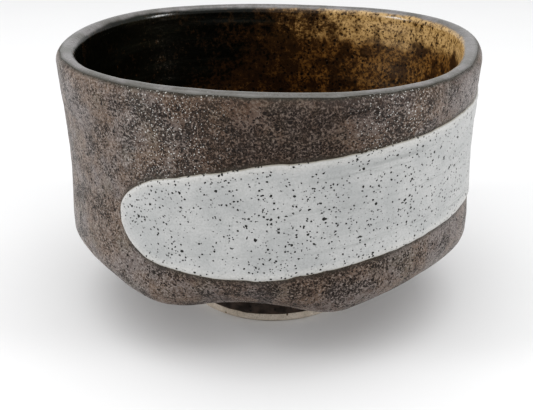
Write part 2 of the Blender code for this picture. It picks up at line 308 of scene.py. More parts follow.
def piece(name, points, faces, material, nodes, attributes=None):
    """A named smooth mesh that rides on the bowl and stands for CAD nodes, with its faces outwards."""
    if volume(points, faces) < 0:
        faces = [face[::-1] for face in faces]
    mesh = bpy.data.meshes.new(name)
    mesh.from_pydata(points.tolist(), [], faces)
    mesh.update()
    for key, values in (attributes or {}).items():
        made = mesh.attributes.new(key, "FLOAT", "POINT")
        padded = np.zeros(len(points), dtype=np.float32)
        padded[:values.size] = values.ravel()
        made.data.foreach_set("value", padded)
    mesh.shade_smooth()
    mesh.set_sharp_from_angle(angle=math.radians(SHARP_ANGLE))
    mesh.materials.append(material)
    made = put_in_scene(name, mesh)
    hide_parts(*nodes)
    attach(made, "root")


def shell(r, z, angle, closed=True, poles=(False, False)):
    """Points and faces of rows of rings; the first and the last row join, or each end in a pole."""
    rows, columns = r.shape
    points = place(angle, r, z).reshape(-1, 3)
    row = np.arange(rows if closed else rows - 1)
    here, following = np.arange(columns)[None, :], (np.arange(columns) + 1)[None, :] % columns
    above, below = row[:, None] * columns, ((row + 1) % rows)[:, None] * columns
    faces = np.stack([above + here, above + following, below + following, below + here], axis=-1)
    faces = faces.reshape(-1, 4).tolist()
    for which, pole in enumerate(poles):
        if not pole:
            continue
        edge_row = 0 if which == 0 else rows - 1
        index = len(points)
        points = np.vstack([points, points[edge_row * columns:(edge_row + 1) * columns].mean(axis=0)])
        for k in range(columns):
            first, second = edge_row * columns + k, edge_row * columns + (k + 1) % columns
            faces.append([index, second, first] if which == 0 else [index, first, second])
    return points, faces


def sheet_faces(rows, columns):
    """Faces of a closed slab between a front and a back grid with the same rows and columns."""
    count = rows * columns
    i, j = np.meshgrid(np.arange(rows - 1), np.arange(columns - 1), indexing="ij")
    a = (i * columns + j).ravel()
    front = np.stack([a, a + 1, a + columns + 1, a + columns], axis=-1)
    back = front[:, ::-1] + count
    rim = [(0, j) for j in range(columns)] + [(i, columns - 1) for i in range(1, rows)]
    rim += [(rows - 1, j) for j in range(columns - 2, -1, -1)]
    rim += [(i, 0) for i in range(rows - 2, 0, -1)]
    flat = np.array([i * columns + j for i, j in rim])
    following = np.roll(flat, -1)
    side = np.stack([following, flat, flat + count, following + count], axis=-1)
    return np.vstack([front, back, side]).tolist()


# ---------------------------------------------------------------- materials

class Recipe:
    """A material put together from nodes, with the place on the bowl in millimetres."""

    def __init__(self, name):
        self.material = bpy.data.materials.new(name)
        self.material.use_nodes = True
        self.tree = self.material.node_tree
        self.shader = self.tree.nodes["Principled BSDF"]
        where = self.add("ShaderNodeTexCoord")
        scaled = self.add("ShaderNodeVectorMath", {0: where.outputs["Object"], 1: (1000.0,) * 3},
                          operation="MULTIPLY")
        self.place = scaled.outputs["Vector"]

    def add(self, kind, inputs=None, **settings):
        """A node with its settings, and its inputs linked or set."""
        node = self.tree.nodes.new(kind)
        for key, value in settings.items():
            setattr(node, key, value)
        for socket, value in (inputs or {}).items():
            self.put(node.inputs[socket], value)
        return node

    def put(self, socket, value):
        if isinstance(value, bpy.types.NodeSocket):
            self.tree.links.new(value, socket)
        else:
            socket.default_value = value

    def math(self, operation, a, b):
        return self.add("ShaderNodeMath", {0: a, 1: b}, operation=operation).outputs[0]

    def times(self, a, b):
        return self.math("MULTIPLY", a, b)

    def plus(self, a, b):
        return self.math("ADD", a, b)

    def minus(self, a, b):
        return self.math("SUBTRACT", a, b)

    def greater(self, a, b):
        return self.math("MAXIMUM", a, b)

    def attribute(self, name):
        return self.add("ShaderNodeAttribute", attribute_name=name).outputs["Fac"]

    def stretched(self, stretch, shift=0.0):
        """The place on the bowl scaled by stretch and moved by shift."""
        if stretch == (1, 1, 1) and shift == 0.0:
            return self.place
        node = self.add("ShaderNodeMapping", {"Vector": self.place, "Scale": stretch,
                                              "Location": (shift, shift * 0.7, shift * 1.3)})
        return node.outputs["Vector"]

    def noise(self, size, detail=2.0, roughness=0.5, stretch=(1, 1, 1), shift=0.0, vector=None):
        """Soft random values round 0.5, in lumps of about size mm."""
        vector = vector or self.stretched(stretch, shift)
        node = self.add("ShaderNodeTexNoise", {"Vector": vector, "Scale": 1.0 / size,
                                               "Detail": detail, "Roughness": roughness})
        return node.outputs["Fac"]

    def remap(self, value, low, high, first=0.0, last=1.0):
        """value between low and high turned softly into first to last."""
        node = self.add("ShaderNodeMapRange", {"Value": value, "From Min": low, "From Max": high,
                                               "To Min": first, "To Max": last},
                        interpolation_type="SMOOTHSTEP")
        return node.outputs["Result"]

    def mix(self, share, first, last):
        """A colour between two colours."""
        node = self.add("ShaderNodeMix", {0: share, 6: first, 7: last}, data_type="RGBA")
        return node.outputs[2]

    def blurred(self, amount, size):
        """The place on the bowl pushed about by up to amount mm, so that spots lose their roundness."""
        wander = self.add("ShaderNodeTexNoise", {"Vector": self.place, "Scale": 1.0 / size, "Detail": 2.0})
        centred = self.add("ShaderNodeVectorMath", {0: wander.outputs["Color"], 1: (0.5,) * 3},
                           operation="SUBTRACT")
        scaled = self.add("ShaderNodeVectorMath", {0: centred.outputs["Vector"], "Scale": 2.0 * amount},
                          operation="SCALE")
        moved = self.add("ShaderNodeVectorMath", {0: self.place, 1: scaled.outputs["Vector"]},
                         operation="ADD")
        return moved.outputs["Vector"]

    def spots(self, vector, spacing, smallest, largest, evenness=1.0, share=1.0, softness=0.2):
        """1 in spots of smallest to largest mm radius, one in each cell of about spacing mm.

        evenness above 1 makes most spots small; share is how much of the cells has a spot.
        """
        node = self.add("ShaderNodeTexVoronoi", {"Vector": vector, "Scale": 1.0 / spacing},
                        feature="F1", voronoi_dimensions="3D")
        split = self.add("ShaderNodeSeparateColor", {"Color": node.outputs["Color"]})
        size = self.times(self.math("POWER", split.outputs[0], evenness), largest - smallest)
        radius = self.times(self.plus(size, smallest), 1.0 / spacing)
        radius = self.times(radius, self.math("LESS_THAN", split.outputs[1], share))
        inside = self.minus(radius, node.outputs["Distance"])
        return self.remap(inside, 0.0, softness * largest / spacing)

    def relief(self, *layers):
        """A bump from (height 0 to 1, depth in mm) layers."""
        total = None
        for height, depth in layers:
            part = self.times(height, depth)
            total = part if total is None else self.plus(total, part)
        bump = self.add("ShaderNodeBump", {"Height": total, "Distance": MM, "Strength": 1.0})
        self.put(self.shader.inputs["Normal"], bump.outputs["Normal"])

    def set(self, **values):
        for key, value in values.items():
            self.put(self.shader.inputs[key.replace("_", " ")], value)
        return self.material


def rgb(red, green, blue):
    return (red, green, blue, 1.0)


TAN, MAUVE, OLIVE = rgb(0.158, 0.112, 0.084), rgb(0.166, 0.140, 0.130), rgb(0.130, 0.112, 0.082)
PALE_GRAIN, UMBER, IRON_BROWN = rgb(0.350, 0.315, 0.290), rgb(0.060, 0.038, 0.028), rgb(0.070, 0.039, 0.022)
# the last colour here is a painted highlight, the colour of the painted glints
IRON_BLACK, THIN_GLAZE, PAINTED_GLINT = rgb(0.013, 0.009, 0.007), rgb(0.040, 0.037, 0.030), rgb(0.62, 0.61, 0.58)
LIP_EDGE = rgb(0.035, 0.034, 0.026)


def brown_glaze():
    """Satin brown-mauve glaze full of black iron grains, calmer under the lip and round the stroke, with
    painted glints (pale specks standing for highlights of the side lights) high on the front.
    """
    m = Recipe("brown_mauve_glaze")
    iron_rich, beside, smooth_with_painted_glints = m.attribute("iron_rich"), m.attribute("beside_stroke"), m.attribute("smooth_with_painted_glints")
    tints = m.remap(m.noise(13.0, 3.0, 0.6), 0.40, 0.60)
    olive = m.remap(m.noise(9.0, 2.0, 0.5, shift=51.0), 0.52, 0.70)
    blotches = m.remap(m.noise(1.9, 3.0, 0.6, shift=17.0), 0.52, 0.34, 0.0, 0.55)
    iron = m.plus(m.noise(6.5, 4.0, 0.62, shift=31.0), m.times(iron_rich, 0.10))
    iron = m.remap(iron, 0.40, 0.66)
    grains = m.noise(0.55, 4.0, 0.74, shift=5.0)
    colour = m.mix(tints, TAN, MAUVE)
    colour = m.mix(m.times(olive, 0.45), colour, OLIVE)
    colour = m.mix(m.remap(grains, 0.48, 0.68, 0.0, 0.8), colour, PALE_GRAIN)
    colour = m.mix(blotches, colour, UMBER)
    colour = m.mix(m.times(iron_rich, 0.52), colour, IRON_BROWN)

    between = m.remap(m.plus(grains, m.times(iron, -0.12)), 0.42, 0.35)
    wandering = m.blurred(0.30, 0.6)
    fine = m.spots(wandering, 0.62, 0.10, 0.32, 1.0, m.remap(iron, 0.0, 1.0, 0.40, 1.0))
    coarse = m.spots(wandering, 1.4, 0.22, 0.55, 1.6, m.remap(iron, 0.0, 1.0, 0.20, 0.75))
    pits = m.greater(m.greater(fine, coarse), m.times(between, 0.85))
    calm = m.greater(m.times(m.attribute("under_lip"), 0.3), m.times(beside, 0.5))
    pits = m.times(pits, m.minus(1.0, m.times(calm, 0.8)))
    # painted glints: pale specks put into the colour where the side lights would glint on the glaze, standing
    # for highlights
    painted_glints = m.times(m.spots(m.blurred(0.2, 0.4), 0.55, 0.08, 0.20, 1.0, 0.7), smooth_with_painted_glints)
    colour = m.mix(m.times(pits, 0.95), colour, IRON_BLACK)
    colour = m.mix(m.times(beside, 0.70), colour, THIN_GLAZE)
    colour = m.mix(m.times(m.attribute("lip_edge"), 0.80), colour, LIP_EDGE)
    colour = m.mix(m.times(painted_glints, 0.8), colour, PAINTED_GLINT)

    rough = m.plus(m.remap(grains, 0.3, 0.7, 0.24, 0.42), m.times(pits, 0.15))
    rough = m.minus(rough, m.times(smooth_with_painted_glints, 0.14))
    m.relief((grains, 0.34), (m.minus(1.0, pits), 0.10), (m.noise(4.0, 2.0, 0.5, shift=9.0), 0.2))
    return m.set(Base_Color=colour, Roughness=rough, Specular_IOR_Level=0.27)


COOL_WHITE, WARM_WHITE = rgb(0.380, 0.386, 0.384), rgb(0.455, 0.457, 0.452)
THIN_WHITE = rgb(0.265, 0.274, 0.268)
THICK_RIM, BARE_EDGE, GREY_GRAIN = rgb(0.53, 0.52, 0.50), rgb(0.26, 0.24, 0.20), rgb(0.24, 0.25, 0.24)
FAINT_SPECK, IRON_SPECK = rgb(0.20, 0.21, 0.20), rgb(0.014, 0.014, 0.012)
STREAK_STRETCH = 0.035


def white_glaze():
    """Cool white brushed glaze with streaks along the stroke, iron specks and a warmer thick rim."""
    m = Recipe("white_brush_glaze")
    along, across, edge = m.attribute("along"), m.attribute("across"), m.attribute("edge")
    brushed = m.add("ShaderNodeCombineXYZ", {"X": m.times(along, STREAK_STRETCH), "Y": across, "Z": 0.0})
    streaks = m.noise(1.5, 4.0, 0.62, vector=brushed.outputs["Vector"])
    broad = m.noise(5.5, 2.0, 0.5, vector=brushed.outputs["Vector"])
    thin = m.times(m.remap(streaks, 0.5, 0.30), m.remap(broad, 0.55, 0.40))
    thin = m.times(thin, m.remap(along, 30.0, 90.0, 0.35, 1.0))
    clouds = m.noise(9.0, 3.0, 0.55, shift=14.0)
    grain = m.noise(0.5, 2.0, 0.6, shift=3.0)
    colour = m.mix(m.remap(clouds, 0.35, 0.65), COOL_WHITE, WARM_WHITE)
    colour = m.mix(m.times(thin, 0.9), colour, THIN_WHITE)
    colour = m.mix(m.remap(edge, 2.6, 0.9, 0.0, 0.6), colour, THICK_RIM)
    colour = m.mix(m.remap(edge, 0.45, 0.05), colour, BARE_EDGE)
    colour = m.mix(m.remap(grain, 0.58, 0.36, 0.0, 0.25), colour, GREY_GRAIN)

    wandering = m.blurred(0.32, 0.75)
    clusters = m.noise(6.0, 2.0, 0.5, shift=40.0)
    small = m.spots(wandering, 0.86, 0.13, 0.31, 1.0, m.remap(clusters, 0.38, 0.62, 0.40, 1.0))
    large = m.spots(m.blurred(0.40, 0.9), 1.8, 0.24, 0.48, 1.6, m.remap(clusters, 0.38, 0.62, 0.25, 0.85))
    faint = m.spots(wandering, 0.9, 0.12, 0.30, 1.0, 0.5)
    specks = m.greater(small, large)
    colour = m.mix(m.times(faint, 0.45), colour, FAINT_SPECK)
    colour = m.mix(specks, colour, IRON_SPECK)

    rough = m.remap(clouds, 0.3, 0.7, 0.42, 0.56)
    m.relief((streaks, 0.10), (grain, 0.05), (m.minus(1.0, specks), 0.10),
             (m.noise(3.0, 2.0, 0.5, shift=9.0), 0.10))
    return m.set(Base_Color=colour, Roughness=rough, Specular_IOR_Level=0.45)


# the second colour is a painted reflection: paler grey along the throwing rings of the black glaze
BLACK, PAINTED_RING_REFLECTION = rgb(0.0042, 0.0048, 0.0026), rgb(0.024, 0.026, 0.019)
BLACK_BROWN, STRAW = rgb(0.058, 0.034, 0.016), rgb(0.58, 0.380, 0.175)
AMBER_DARK, AMBER, AMBER_PALE = rgb(0.052, 0.026, 0.009), rgb(0.215, 0.116, 0.036), rgb(0.28, 0.175, 0.070)
AMBER_BLACK, AMBER_PATCH = rgb(0.008, 0.005, 0.002), rgb(0.022, 0.010, 0.003)
AMBER_FLECK = rgb(0.030, 0.016, 0.007)


def inside_layers(m):
    """Colour and relief layers of the inside, and its share of amber.

    The attribute amber turns black into amber, and top_band turns amber into straw near the lip.
    """
    mottle = m.noise(1.25, 4.0, 0.72, shift=2.0)
    speckle = m.noise(0.75, 4.0, 0.72, shift=61.0)
    patches = m.noise(6.5, 3.0, 0.6, shift=22.0)
    rings = m.noise(2.6, 3.0, 0.6, stretch=(0.10, 0.10, 1.0), shift=8.0)
    amber = m.plus(m.attribute("amber"), m.times(m.minus(patches, 0.5), 0.8))
    amber = m.plus(amber, m.times(m.minus(mottle, 0.5), 1.1))
    dark_amber = m.remap(amber, 0.0, 0.42)
    amber = m.remap(amber, 0.32, 0.98)
    # paler grey along the throwing rings: a painted reflection of the rings in the black glaze
    black = m.mix(m.remap(rings, 0.45, 0.75, 0.0, 0.5), BLACK, PAINTED_RING_REFLECTION)
    brown = m.mix(m.remap(mottle, 0.40, 0.60), AMBER_DARK, AMBER)
    brown = m.mix(m.remap(speckle, 0.50, 0.66, 0.0, 0.45), brown, AMBER_PALE)
    brown = m.mix(m.times(m.remap(patches, 0.54, 0.40), 0.75), brown, AMBER_PATCH)
    colour = m.mix(dark_amber, black, BLACK_BROWN)
    colour = m.mix(amber, colour, brown)

    band = m.plus(m.attribute("top_band"), m.times(m.minus(patches, 0.5), 1.4))
    band = m.times(m.remap(band, 0.20, 1.05), m.remap(mottle, 0.34, 0.54, 0.30, 1.0))
    colour = m.mix(m.times(band, amber), colour, STRAW)
    flecks = m.times(m.remap(speckle, 0.48, 0.38), amber)
    colour = m.mix(m.times(flecks, 0.85), colour, AMBER_FLECK)
    pits = m.spots(m.blurred(0.5, 0.9), 1.2, 0.15, 0.6, 1.2, m.remap(patches, 0.4, 0.6, 0.9, 0.4))
    pits = m.times(pits, dark_amber)
    colour = m.mix(m.times(pits, 0.80), colour, AMBER_BLACK)
    rough = m.plus(m.remap(mottle, 0.3, 0.7, 0.14, 0.24), m.times(amber, 0.28))
    return colour, rough, ((rings, 0.05), (mottle, 0.04), (m.minus(1.0, pits), 0.04))


def inside_glaze(name):
    """Glossy glaze of the inside, black or amber."""
    m = Recipe(name)
    colour, rough, relief = inside_layers(m)
    m.relief(*relief)
    return m.set(Base_Color=colour, Roughness=rough, Specular_IOR_Level=0.32)


LIP_GREY, LIP_MAUVE, LIP_GRAIN = rgb(0.122, 0.118, 0.110), rgb(0.190, 0.180, 0.180), rgb(0.070, 0.058, 0.048)
LIP_BORDER, LIP_SPECK = rgb(0.045, 0.043, 0.034), rgb(0.03, 0.024, 0.02)


def lip_glaze_look():
    """Smooth grey-mauve glaze that has run thin over the lip and gives way to the inside's colours."""
    m = Recipe("grey_lip_glaze")
    clouds = m.noise(8.0, 3.0, 0.55, shift=4.0)
    grain = m.noise(0.8, 3.0, 0.65, shift=6.0)
    colour = m.mix(m.remap(clouds, 0.36, 0.64), LIP_GREY, LIP_MAUVE)
    colour = m.mix(m.remap(grain, 0.52, 0.34, 0.0, 0.40), colour, LIP_GRAIN)
    colour = m.mix(m.remap(m.attribute("from_outside"), 1.0, 0.0, 0.0, 0.8), colour, LIP_BORDER)
    specks = m.spots(m.blurred(0.25, 0.6), 2.0, 0.08, 0.40, 1.6, 0.6)
    colour = m.mix(m.times(specks, 0.6), colour, LIP_SPECK)
    inside = m.remap(m.plus(m.attribute("from_inside"), m.times(clouds, 1.2)), 4.3, 3.1)
    colour = m.mix(inside, colour, inside_layers(m)[0])
    rough = m.remap(grain, 0.3, 0.7, 0.16, 0.28)
    m.relief((clouds, 0.12), (grain, 0.02))
    return m.set(Base_Color=colour, Roughness=rough, Specular_IOR_Level=0.5)


# colours of the foot glaze: dark glaze made darker still as painted shade under the belly
FOOT_DARK_AND_SHADE, FOOT_BROWN_AND_SHADE = rgb(0.026, 0.019, 0.015), rgb(0.070, 0.052, 0.042)
FOOT_SPECK = rgb(0.008, 0.006, 0.005)


def foot_glaze_and_shade_look():
    """Dark satin glaze on the wall of the foot; its colours are partly the glaze and partly painted shade
    from the belly above.
    """
    m = Recipe("dark_foot_glaze_and_painted_shade")
    clouds = m.noise(3.0, 3.0, 0.6, shift=4.0)
    colour = m.mix(m.remap(clouds, 0.35, 0.65), FOOT_DARK_AND_SHADE, FOOT_BROWN_AND_SHADE)
    specks = m.spots(m.blurred(0.3, 0.7), 1.2, 0.08, 0.45, 1.3, 0.7)
    colour = m.mix(m.times(specks, 0.8), colour, FOOT_SPECK)
    rough = m.remap(clouds, 0.3, 0.7, 0.34, 0.55)
    m.relief((clouds, 0.15), (m.minus(1.0, specks), 0.08))
    return m.set(Base_Color=colour, Roughness=rough, Specular_IOR_Level=0.4)


PALE_CLAY, DARK_CLAY, CLAY_TOOTH = rgb(0.50, 0.43, 0.35), rgb(0.38, 0.31, 0.245), 0.12
PALE_FOOT, DARK_FOOT, FOOT_TOOTH = rgb(0.60, 0.54, 0.47), rgb(0.48, 0.42, 0.35), 0.10
GROG, CLAY_IRON = rgb(0.70, 0.64, 0.56), rgb(0.09, 0.055, 0.035)
SAND_SHADE = 0.45


def clay_look(name, pale, dark, tooth):
    """Bare stoneware: sandy, with grog and iron spots, tooth mm deep."""
    m = Recipe(name)
    clouds = m.noise(6.0, 3.0, 0.6, shift=4.0)
    sand = m.noise(0.45, 3.0, 0.7, shift=6.0)
    colour = m.mix(m.remap(clouds, 0.35, 0.65), dark, pale)
    sand_colour = rgb(*(SAND_SHADE * c for c in dark[:3]))
    colour = m.mix(m.remap(sand, 0.55, 0.30, 0.0, 0.5), colour, sand_colour)
    grog = m.spots(m.blurred(0.25, 0.6), 1.6, 0.10, 0.45, 1.3, 0.5)
    colour = m.mix(m.times(grog, 0.5), colour, GROG)
    iron = m.spots(m.blurred(0.2, 0.5), 2.6, 0.12, 0.5, 1.8, 0.6)
    colour = m.mix(m.times(iron, 0.8), colour, CLAY_IRON)
    rough = m.remap(sand, 0.3, 0.7, 0.78, 0.95)
    m.relief((sand, tooth), (grog, 0.06), (m.minus(1.0, iron), 0.08))
    return m.set(Base_Color=colour, Roughness=rough, Specular_IOR_Level=0.25)


# ---------------------------------------------------------------- the pieces

def stroke_span(angle):
    """Lower and upper height of the white stroke at an angle, with the waver of the brush."""
    gone = angle - STROKE_START
    level = STROKE_LEVEL[0] + (STROKE_LEVEL[1] - STROKE_LEVEL[0]) * smooth(gone / STROKE_RISE)
    half = STROKE_HALF[0] + (STROKE_HALF[1] - STROKE_HALF[0]) * smooth(gone / STROKE_SWELL)
    for past_end, cap in ((STROKE_START + STROKE_CAP_START - angle, STROKE_CAP_START),
                          (angle - STROKE_END + STROKE_CAP_END, STROKE_CAP_END)):
        half = half * np.sqrt(np.clip(1.0 - (np.maximum(past_end, 0.0) / cap) ** 2, 0.0, 1.0))
    wall = LIP_BASE - BELLY_HEIGHT
    ease = np.clip(half / 0.12, 0.0, 1.0)
    low = 0.25 * wander(angle, 44, 21) + 0.15 * wander(angle, 150, 22)
    high = 0.25 * wander(angle, 40, 23) + 0.13 * wander(angle, 160, 24)
    return (BELLY_HEIGHT + wall * (level - half) + low * ease,
            BELLY_HEIGHT + wall * (level + half) + high * ease)


def beside_stroke(angle, height):
    """1 beside the edge of the white stroke, falling to 0 some 1.5 mm away from it."""
    turn = STROKE_START + (angle - STROKE_START) % 360.0
    inside = np.clip(turn, STROKE_START, STROKE_END)
    low, high = stroke_span(inside)
    off_height = np.maximum(np.maximum(low - height, height - high), 0.0)
    off_angle = np.minimum(np.abs(turn - inside), 360.0 - np.abs(turn - inside))
    away = np.hypot(off_height, off_angle * math.radians(1.0) * BELLY_RADIUS)
    return smooth(1.0 - away / 1.6)


def iron_rich(angle, height):
    """Where the glaze is darker and browner: round the front, and in a few soft places behind."""
    front = smooth(1.25 - np.abs(from_angle(angle, 272.0)) / 34.0)
    behind = smooth(1.1 - np.abs(from_angle(angle, 95.0)) / 30.0)
    upper = 0.45 + 0.55 * smooth((height - 24.0) / 16.0)
    return np.clip(np.maximum(front * upper, 0.7 * behind * upper), 0.0, 1.0)


def smooth_with_painted_glints(angle, height):
    """Where the glaze has melted smoother and carries painted glints, pale specks standing for highlights of
    the side lights: two soft places high on the front.
    """
    left = smooth(1.3 - np.abs(angle - 246.0) / 15.0)
    right = smooth(1.2 - np.abs(angle - 298.0) / 13.0) * smooth((height - 58.0) / 6.0)
    return np.maximum(left * smooth((height - 46.0) / 14.0), right)


def joint(angle):
    """Height of the wavy line where the lip glaze meets the glazes of the inside."""
    return JOINT + 0.25 * wander(angle, 24, 31) + 0.12 * wander(angle, 90, 32)


def lip_line(angle):
    """Turn on the lip's rounding where the outer glaze ends and the smoother lip glaze begins."""
    sideways = np.cos(np.radians(angle)) ** 2
    return 46.0 + 14.0 * sideways + 5.0 * wander(angle, 22, 33) + 3.0 * wander(angle, 80, 34)


def build_outer_glaze():
    """The coat on the wall and the underside, with the rings of the trimming tool underneath."""
    start = lip_line(ROUND) - LIP_LINE_GAP
    r, z = outer_grid(ROUND, start, (8, 74, 16, 34))
    along = arc_length(r, z)
    angle = np.broadcast_to(ROUND, r.shape)
    lift = outer_lumps(angle, z) * smooth(along / 4.0) * smooth((r - FOOT_RADIUS) / 2.0)
    under = smooth((EDGE_HEIGHT - 2.0 - z) / 3.0)
    rings = np.sin(r * 2 * math.pi / TRIMMING_PITCH)
    lift = lift + TRIMMING_DEPTH * under * rings * smooth((r - FOOT_RADIUS) / 2.0)
    r, z = lifted(r, z, lift)
    inner_r, inner_z = outer_grid(ROUND, start, (4, 8, 6, 3))
    inner_r, inner_z = lifted(inner_r, inner_z, -GLAZE)
    inner_z[-1] = FOOT_HEIGHT + GLAZE
    points, faces = shell(np.vstack([r, inner_r[::-1]]), np.vstack([z, inner_z[::-1]]), ROUND)
    marks = {
        "lip_edge": smooth(1.0 - along / 1.1),
        "under_lip": smooth(1.0 - (along - 1.0) / 3.0),
        "beside_stroke": beside_stroke(angle, z),
        "iron_rich": iron_rich(angle, z),
        # lower roughness, and the place of the painted glints
        "smooth_with_painted_glints": smooth_with_painted_glints(angle, z),
    }
    blank = np.zeros_like(inner_r)
    marks = {key: np.vstack([value, blank]) for key, value in marks.items()}
    piece("outer_glaze_coat", points, faces, brown_glaze(), ["outer_glaze"], marks)


FAR = 9.0    # mm from the inside, given to points of the hidden underside


def build_lip_glaze():
    """The smooth glaze over the top of the lip and down its inner side."""
    start = lip_line(ROUND) + LIP_LINE_GAP
    low = joint(ROUND)
    wave = 0.10 * wander(ROUND, 16, 41) - 0.12
    centre = lip_outline(ROUND) - LIP_ROUNDING
    rows_r, rows_z = [], []
    for share in np.linspace(0.0, 1.0, 23):
        degrees = start * (1.0 - share) + 180.0 * share
        turn = np.radians(degrees)
        rows_r.append(centre + LIP_ROUNDING * np.cos(turn))
        rows_z.append(LIP_BASE + (LIP_ROUNDING + wave * smooth((degrees - start) / 25.0)) * np.sin(turn))
    for share in np.linspace(0.0, 1.0, 6)[1:]:
        z = low * share + LIP_BASE * (1.0 - share)
        rows_r.append(wall_radius(ROUND, z) - WALL_THICKNESS)
        rows_z.append(z)
    top_r, top_z = np.array(rows_r), np.array(rows_z)
    along = arc_length(top_r, top_z)
    angle = np.broadcast_to(ROUND, top_r.shape)
    ease = smooth(along / 1.5) * smooth((along[-1] - along) / 1.5)
    lift = 0.05 * lumps(angle, along, 70, 3.0, 42) * ease
    under_r, under_z = lifted(top_r, top_z, GLAZE)
    under_r, under_z = under_r[::3], under_z[::3]
    top_r, top_z = lifted(top_r, top_z, -lift)
    r, z = np.vstack([top_r, under_r[::-1]])[::-1], np.vstack([top_z, under_z[::-1]])[::-1]
    blank = np.zeros_like(under_r)
    marks = {
        "from_outside": np.vstack([along, blank])[::-1],
        "from_inside": np.vstack([along[-1] - along, blank + FAR])[::-1],
        "amber": np.vstack([amber_share(angle, 0 * along), blank])[::-1],
        "top_band": np.vstack([1.0 + 0 * along, blank])[::-1],
    }
    points, faces = shell(r, z, ROUND)
    piece("lip_glaze_roll", points, faces, lip_glaze_look(), ["lip_glaze"], marks)


def amber_share(angle, along):
    """0 in the black glaze to 1 well inside the amber, along in mm down from the lip."""
    run = smooth(along / AMBER_RUN)
    back = AMBER_BACK + AMBER_BACK_RUN * run
    front = AMBER_FRONT - AMBER_FRONT_RUN * run
    turn = from_angle(angle, 0.0)
    edge = np.minimum(back - turn, turn - front)
    return smooth(0.5 + edge / (2 * AMBER_FADE))


def top_band(angle, along):
    """Paler band of the amber coat close under the lip, narrower toward the front."""
    turn = from_angle(angle, 0.0)
    width = 5.0 + 6.0 * smooth((turn - 5.0) / 40.0)
    return smooth(1.0 - (along - 1.0) / width)


def inside_marks(angle, along, r):
    """The attributes amber and top_band of the glazes inside."""
    return {"amber": amber_share(angle, along) * smooth((r - 12.0) / 10.0),
            "top_band": top_band(angle, along)}


def inside_relief(angle, along, r):
    """How far the inside stands in or out, easing off toward the lip and the middle."""
    return inner_lumps(angle, along) * smooth(along / 2.5) * smooth(r / 8.0)


def build_inner_glaze():
    r, z = inner_grid(ROUND, joint(ROUND) - 0.02, INSIDE_ROWS)
    along = arc_length(r, z)
    angle = np.broadcast_to(ROUND, r.shape)
    clay_r, clay_z = lifted(r, z, GLAZE)
    clay_r, clay_z = clay_r[::6], clay_z[::6]
    fine_r, fine_z = lifted(r, z, -inside_relief(angle, along, r))
    points, faces = shell(np.vstack([fine_r[::-1], clay_r]), np.vstack([fine_z[::-1], clay_z]), ROUND,
                          closed=False, poles=(True, True))
    blank = np.zeros_like(clay_r)
    marks = {key: np.vstack([value[::-1], blank]) for key, value in inside_marks(angle, along, r).items()}
    piece("inner_glaze_lining", points, faces, inside_glaze("black_glaze"),
          ["inner_glaze"], marks)


AMBER_TOP, AMBER_LENGTH, AMBER_WIDTH = 0.6, 66.0, 80.0
AMBER_DEPTH = 108    # how many rows of the inside the pour covers
AMBER_INSET, AMBER_FEATHER, AMBER_EDGE = 2.0, 9.0, 0.012


def build_amber_glaze():
    """The amber poured over the lining, a slab that thins out toward its edges."""
    shares = np.linspace(0.0, 1.0, AMBER_COLUMNS)[None, :]
    row = np.linspace(0.0, 1.0, AMBER_ROWS)[:, None]
    run = smooth(row * AMBER_LENGTH / AMBER_RUN)
    back = AMBER_BACK + AMBER_BACK_RUN * run - AMBER_INSET
    front = AMBER_FRONT - AMBER_FRONT_RUN * run + AMBER_INSET
    angle = front + (back - front) * shares
    pick, index = np.round(row[:, 0] * AMBER_DEPTH).astype(int), np.arange(AMBER_ROWS)
    columns_r, columns_z = [], []
    for column in angle.T:
        grid_r, grid_z = inner_grid(column, joint(column) - AMBER_TOP, INSIDE_ROWS)
        columns_r.append(grid_r[pick, index])
        columns_z.append(grid_z[pick, index])
    r, z = np.array(columns_r).T, np.array(columns_z).T
    along = arc_length(r, z) + AMBER_TOP
    edge = np.minimum(np.minimum(shares, 1 - shares) * (back - front), np.minimum(row, 1 - row) * AMBER_WIDTH)
    thick = AMBER_THICKNESS * smooth(edge / AMBER_FEATHER) + AMBER_EDGE
    under = inside_relief(angle, along, r)
    sides = [place(angle, *lifted(r, z, -(under + rise))).reshape(-1, 3) for rise in (thick, -UNDER_GLAZE)]
    marks = {key: np.tile(value.ravel(), 2) for key, value in inside_marks(angle, along, r).items()}
    piece("amber_glaze_pour", np.vstack(sides), sheet_faces(AMBER_ROWS, AMBER_COLUMNS),
          inside_glaze("amber_glaze"), ["amber_glaze"], marks)


STROKE_THICKNESS, STROKE_EDGE, STROKE_BEAD = 0.34, 0.03, 0.10


def build_white_stroke():
    """The raised stroke: a rounded edge, a bead inside it and the ridges of the brush."""
    angle = np.linspace(STROKE_START + 0.02, STROKE_END - 0.05, STROKE_COLUMNS)
    low, high = stroke_span(angle)
    z = low + (high - low) * np.linspace(0.0, 1.0, STROKE_ROWS)[:, None]
    angle = np.broadcast_to(angle, z.shape)
    along = (angle - STROKE_START) * math.radians(1.0) * BELLY_RADIUS
    level = z - (low + high) / 2
    from_end = np.minimum(along - along[:, :1], along[:, -1:] - along)
    edge = np.minimum(np.minimum(z - low, high - z), from_end)
    surface = side_radius(angle, z) + outer_lumps(angle, z)
    ridges = (0.035 * lumps(angle, level + 0.02 * along, 9, 1.1, 51)
              + 0.03 * lumps(angle, level, 14, 2.6, 52))
    bead = STROKE_BEAD * smooth(1.0 - np.abs(edge - 1.1) / 1.1)
    thick = STROKE_EDGE + (STROKE_THICKNESS + bead + ridges) * np.sqrt(np.clip(edge / 0.9, 0.0, 1.0))
    sides = [place(angle, surface + rise, z).reshape(-1, 3) for rise in (thick, -UNDER_GLAZE)]
    marks = {"along": along, "across": level, "edge": edge}
    marks = {key: np.tile(value.ravel(), 2) for key, value in marks.items()}
    piece("white_brush_stroke", np.vstack(sides), sheet_faces(STROKE_ROWS, STROKE_COLUMNS), white_glaze(),
          ["white_brush_glaze"], marks)


